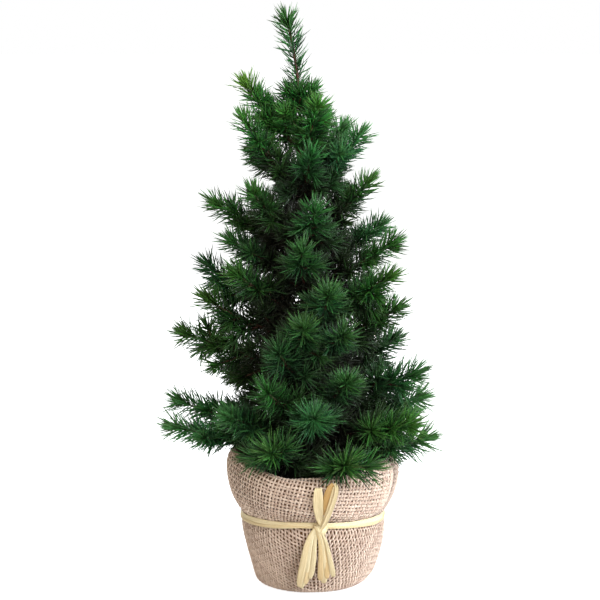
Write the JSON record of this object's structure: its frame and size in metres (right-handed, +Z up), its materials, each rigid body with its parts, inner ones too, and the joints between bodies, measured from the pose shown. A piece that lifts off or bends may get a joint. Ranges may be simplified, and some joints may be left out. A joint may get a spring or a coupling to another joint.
{
  "type": "artificial tabletop tree",
  "caption": "Small artificial conifer with bendable needle branches on a taped trunk, standing in a weighted pot wrapped in burlap and tied with a raffia bow.",
  "frame": {"origin": "on the ground under the middle of the pot", "axes": "+Z up; the raffia bow faces -Y; +X to the right as seen from the bow side"},
  "size_m": [0.2062, 0.1935, 0.4503],
  "materials": {
    "foliage": "satin",
    "bark_tape": "matte",
    "burlap": "matte",
    "raffia": "satin",
    "pot_plastic": "satin",
    "cement": "matte",
    "steel": "satin",
    "felt": "matte"
  },
  "bodies": {
    "base": {"base_disc": "felt", "burlap_wrap": "burlap", "pot": "pot_plastic", "cement_weight": "cement", "trunk_rod": "steel", "trunk_wrap": "bark_tape", "raffia_band": "raffia", "raffia_bow": "raffia", "raffia_tail_left": "raffia", "raffia_tail_right": "raffia"},
    "leader": {"leader": "foliage"},
    "branch_01": {"branch_01": "foliage"},
    "branch_02": {"branch_02": "foliage"},
    "branch_03": {"branch_03": "foliage"},
    "branch_04": {"branch_04": "foliage"},
    "branch_05": {"branch_05": "foliage"},
    "branch_06": {"branch_06": "foliage"},
    "branch_07": {"branch_07": "foliage"},
    "branch_08": {"branch_08": "foliage"},
    "branch_09": {"branch_09": "foliage"},
    "branch_10": {"branch_10": "foliage"},
    "branch_11": {"branch_11": "foliage"},
    "branch_12": {"branch_12": "foliage"},
    "branch_13": {"branch_13": "foliage"},
    "branch_14": {"branch_14": "foliage"},
    "branch_15": {"branch_15": "foliage"},
    "branch_16": {"branch_16": "foliage"},
    "branch_17": {"branch_17": "foliage"},
    "branch_18": {"branch_18": "foliage"},
    "branch_19": {"branch_19": "foliage"},
    "branch_20": {"branch_20": "foliage"},
    "branch_21": {"branch_21": "foliage"},
    "branch_22": {"branch_22": "foliage"},
    "branch_23": {"branch_23": "foliage"},
    "branch_24": {"branch_24": "foliage"},
    "branch_25": {"branch_25": "foliage"},
    "branch_26": {"branch_26": "foliage"},
    "branch_27": {"branch_27": "foliage"},
    "branch_28": {"branch_28": "foliage"},
    "branch_29": {"branch_29": "foliage"},
    "branch_30": {"branch_30": "foliage"},
    "branch_31": {"branch_31": "foliage"},
    "branch_32": {"branch_32": "foliage"},
    "branch_33": {"branch_33": "foliage"},
    "branch_34": {"branch_34": "foliage"},
    "branch_35": {"branch_35": "foliage"},
    "branch_36": {"branch_36": "foliage"},
    "branch_37": {"branch_37": "foliage"},
    "branch_38": {"branch_38": "foliage"},
    "branch_39": {"branch_39": "foliage"},
    "branch_40": {"branch_40": "foliage"},
    "branch_41": {"branch_41": "foliage"},
    "branch_42": {"branch_42": "foliage"},
    "branch_43": {"branch_43": "foliage"},
    "branch_44": {"branch_44": "foliage"},
    "branch_45": {"branch_45": "foliage"},
    "branch_46": {"branch_46": "foliage"},
    "branch_47": {"branch_47": "foliage"},
    "branch_48": {"branch_48": "foliage"},
    "branch_49": {"branch_49": "foliage"}
  },
  "joints": [
    {"name": "leader_bend", "type": "hinge", "parent": "base", "child": "leader", "pos_m": [-0.00886, 0, 0.372], "axis": [0, 1, 0], "range_deg": [-20, 20]},
    {"name": "branch_01_bend", "type": "hinge", "parent": "base", "child": "branch_01", "pos_m": [0.00216, -0.00611, 0.092], "axis": [-0.9397, -0.342, 0], "range_deg": [0, 35]},
    {"name": "branch_02_bend", "type": "hinge", "parent": "base", "child": "branch_02", "pos_m": [0.00153, 0.00628, 0.095], "axis": [0.9659, -0.2588, 0], "range_deg": [0, 19]},
    {"name": "branch_03_bend", "type": "hinge", "parent": "base", "child": "branch_03", "pos_m": [-0.00279, -0.00598, 0.098], "axis": [-0.9205, 0.3907, 0], "range_deg": [-6, 20]},
    {"name": "branch_04_bend", "type": "hinge", "parent": "base", "child": "branch_04", "pos_m": [-0.00407, 0.00532, 0.101], "axis": [0.8192, 0.5736, 0], "range_deg": [-3, 22]},
    {"name": "branch_05_bend", "type": "hinge", "parent": "base", "child": "branch_05", "pos_m": [0.006, -0.0009, 0.104], "axis": [-0.1392, -0.9903, 0], "range_deg": [-7, 23]},
    {"name": "branch_06_bend", "type": "hinge", "parent": "base", "child": "branch_06", "pos_m": [0.00509, 0.00325, 0.107], "axis": [0.5, -0.866, 0], "range_deg": [-11, 23]},
    {"name": "branch_07_bend", "type": "hinge", "parent": "base", "child": "branch_07", "pos_m": [-0.00709, -0.00068, 0.11], "axis": [-0.1045, 0.9945, 0], "range_deg": [-12, 19]},
    {"name": "branch_08_bend", "type": "hinge", "parent": "base", "child": "branch_08", "pos_m": [0.00491, -0.00325, 0.113], "axis": [-0.5, -0.866, 0], "range_deg": [-22, 38]},
    {"name": "branch_09_bend", "type": "hinge", "parent": "base", "child": "branch_09", "pos_m": [-0.00065, -0.0065, 0.118], "axis": [-0.9994, -0.0349, 0], "range_deg": [-30, 29]},
    {"name": "branch_10_bend", "type": "hinge", "parent": "base", "child": "branch_10", "pos_m": [-0.00557, -0.0046, 0.121], "axis": [-0.7071, 0.7071, 0], "range_deg": [-30, 20]},
    {"name": "branch_11_bend", "type": "hinge", "parent": "base", "child": "branch_11", "pos_m": [-0.00747, 0.00113, 0.124], "axis": [0.1736, 0.9848, 0], "range_deg": [-24, 37]},
    {"name": "branch_12_bend", "type": "hinge", "parent": "base", "child": "branch_12", "pos_m": [0.00524, 0.00113, 0.127], "axis": [0.1736, -0.9848, 0], "range_deg": [-30, 26]},
    {"name": "branch_13_bend", "type": "hinge", "parent": "base", "child": "branch_13", "pos_m": [-0.0039, -0.00594, 0.13], "axis": [-0.9135, 0.4067, 0], "range_deg": [-23, 11]},
    {"name": "branch_14_bend", "type": "hinge", "parent": "base", "child": "branch_14", "pos_m": [-0.00192, 0.00647, 0.133], "axis": [0.9962, 0.0872, 0], "range_deg": [-23, 23]},
    {"name": "branch_15_bend", "type": "hinge", "parent": "base", "child": "branch_15", "pos_m": [0.00109, -0.00598, 0.136], "axis": [-0.9205, -0.3907, 0], "range_deg": [-30, 14]},
    {"name": "branch_16_bend", "type": "hinge", "parent": "base", "child": "branch_16", "pos_m": [0.00486, -0.00113, 0.139], "axis": [-0.1736, -0.9848, 0], "range_deg": [-25, 34]},
    {"name": "branch_17_bend", "type": "hinge", "parent": "base", "child": "branch_17", "pos_m": [0.00254, 0.00498, 0.142], "axis": [0.766, -0.6428, 0], "range_deg": [-25, 40]},
    {"name": "branch_18_bend", "type": "hinge", "parent": "base", "child": "branch_18", "pos_m": [-0.00721, 0.00373, 0.15], "axis": [0.5736, 0.8192, 0], "range_deg": [-30, 45]},
    {"name": "branch_19_bend", "type": "hinge", "parent": "base", "child": "branch_19", "pos_m": [-0.00404, -0.00618, 0.1545], "axis": [-0.9511, 0.309, 0], "range_deg": [-14, 13]},
    {"name": "branch_20_bend", "type": "hinge", "parent": "base", "child": "branch_20", "pos_m": [0.00394, 0.00222, 0.159], "axis": [0.342, -0.9397, 0], "range_deg": [-30, 45]},
    {"name": "branch_21_bend", "type": "hinge", "parent": "base", "child": "branch_21", "pos_m": [-0.00881, 0, 0.1635], "axis": [0, 1, 0], "range_deg": [-30, 29]},
    {"name": "branch_22_bend", "type": "hinge", "parent": "base", "child": "branch_22", "pos_m": [-0.00012, -0.00607, 0.168], "axis": [-0.9336, -0.3584, 0], "range_deg": [-17, 17]},
    {"name": "branch_23_bend", "type": "hinge", "parent": "base", "child": "branch_23", "pos_m": [-0.00293, -0.00649, 0.1725], "axis": [-0.9986, 0.0523, 0], "range_deg": [-24, 21]},
    {"name": "branch_24_bend", "type": "hinge", "parent": "base", "child": "branch_24", "pos_m": [-0.00496, 0.00611, 0.177], "axis": [0.9397, 0.342, 0], "range_deg": [-30, 45]},
    {"name": "branch_25_bend", "type": "hinge", "parent": "base", "child": "branch_25", "pos_m": [0.00315, -0.00222, 0.184], "axis": [-0.342, -0.9397, 0], "range_deg": [-30, 22]},
    {"name": "branch_26_bend", "type": "hinge", "parent": "base", "child": "branch_26", "pos_m": [-0.00087, 0.00611, 0.1885], "axis": [0.9397, -0.342, 0], "range_deg": [-30, 45]},
    {"name": "branch_27_bend", "type": "hinge", "parent": "base", "child": "branch_27", "pos_m": [-0.00959, -0.00135, 0.193], "axis": [-0.2079, 0.9781, 0], "range_deg": [-30, 27]},
    {"name": "branch_28_bend", "type": "hinge", "parent": "base", "child": "branch_28", "pos_m": [-0.00203, -0.00636, 0.1975], "axis": [-0.9781, -0.2079, 0], "range_deg": [-30, 27]},
    {"name": "branch_29_bend", "type": "hinge", "parent": "base", "child": "branch_29", "pos_m": [0.00146, 0.00418, 0.202], "axis": [0.6428, -0.766, 0], "range_deg": [-30, 45]},
    {"name": "branch_30_bend", "type": "hinge", "parent": "base", "child": "branch_30", "pos_m": [0.00185, -0.00344, 0.2065], "axis": [-0.5299, -0.848, 0], "range_deg": [-30, 27]},
    {"name": "branch_31_bend", "type": "hinge", "parent": "base", "child": "branch_31", "pos_m": [-0.00878, -0.00418, 0.211], "axis": [-0.6428, 0.766, 0], "range_deg": [-30, 26]},
    {"name": "branch_32_bend", "type": "hinge", "parent": "base", "child": "branch_32", "pos_m": [-0.01022, 0.00168, 0.2155], "axis": [0.2588, 0.9659, 0], "range_deg": [-30, 24]},
    {"name": "branch_33_bend", "type": "hinge", "parent": "base", "child": "branch_33", "pos_m": [-0.00466, -0.00648, 0.224], "axis": [-0.9976, 0.0698, 0], "range_deg": [-30, 15]},
    {"name": "branch_34_bend", "type": "hinge", "parent": "base", "child": "branch_34", "pos_m": [0.00202, -0.00113, 0.2295], "axis": [-0.1736, -0.9848, 0], "range_deg": [-30, 21]},
    {"name": "branch_35_bend", "type": "hinge", "parent": "base", "child": "branch_35", "pos_m": [-0.00829, 0.00532, 0.235], "axis": [0.8192, 0.5736, 0], "range_deg": [-30, 35]},
    {"name": "branch_36_bend", "type": "hinge", "parent": "base", "child": "branch_36", "pos_m": [-0.01109, -0.00135, 0.2405], "axis": [-0.2079, 0.9781, 0], "range_deg": [-30, 20]},
    {"name": "branch_37_bend", "type": "hinge", "parent": "base", "child": "branch_37", "pos_m": [0.00145, 0.00135, 0.246], "axis": [0.2079, -0.9781, 0], "range_deg": [-30, 35]},
    {"name": "branch_38_bend", "type": "hinge", "parent": "base", "child": "branch_38", "pos_m": [-0.00395, 0.0064, 0.2515], "axis": [0.9848, -0.1736, 0], "range_deg": [-30, 45]},
    {"name": "branch_39_bend", "type": "hinge", "parent": "base", "child": "branch_39", "pos_m": [-0.00438, -0.00644, 0.258], "axis": [-0.9903, -0.1392, 0], "range_deg": [-30, 22]},
    {"name": "branch_40_bend", "type": "hinge", "parent": "base", "child": "branch_40", "pos_m": [-0.01187, 0.00113, 0.264], "axis": [0.1736, 0.9848, 0], "range_deg": [-30, 45]},
    {"name": "branch_41_bend", "type": "hinge", "parent": "base", "child": "branch_41", "pos_m": [-0.01049, -0.00435, 0.27], "axis": [-0.6691, 0.7431, 0], "range_deg": [-30, 33]},
    {"name": "branch_42_bend", "type": "hinge", "parent": "base", "child": "branch_42", "pos_m": [0.00051, -0.00135, 0.276], "axis": [-0.2079, -0.9781, 0], "range_deg": [-30, 26]},
    {"name": "branch_43_bend", "type": "hinge", "parent": "base", "child": "branch_43", "pos_m": [-0.00826, 0.00611, 0.282], "axis": [0.9397, 0.342, 0], "range_deg": [-30, 40]},
    {"name": "branch_44_bend", "type": "hinge", "parent": "base", "child": "branch_44", "pos_m": [-0.00581, -0.00645, 0.3], "axis": [-0.9925, -0.1219, 0], "range_deg": [-30, 26]},
    {"name": "branch_45_bend", "type": "hinge", "parent": "base", "child": "branch_45", "pos_m": [-0.00105, -0.00305, 0.306], "axis": [-0.4695, -0.8829, 0], "range_deg": [-30, 26]},
    {"name": "branch_46_bend", "type": "hinge", "parent": "base", "child": "branch_46", "pos_m": [-0.01287, -0.00275, 0.312], "axis": [-0.4226, 0.9063, 0], "range_deg": [-30, 20]},
    {"name": "branch_47_bend", "type": "hinge", "parent": "base", "child": "branch_47", "pos_m": [-0.00184, 0.00373, 0.318], "axis": [0.5736, -0.8192, 0], "range_deg": [-30, 33]},
    {"name": "branch_48_bend", "type": "hinge", "parent": "base", "child": "branch_48", "pos_m": [-0.00505, -0.00589, 0.338], "axis": [-0.9063, -0.4226, 0], "range_deg": [-30, 22]},
    {"name": "branch_49_bend", "type": "hinge", "parent": "base", "child": "branch_49", "pos_m": [-0.01451, -0.00023, 0.345], "axis": [-0.0349, 0.9994, 0], "range_deg": [-30, 34]}
  ]
}
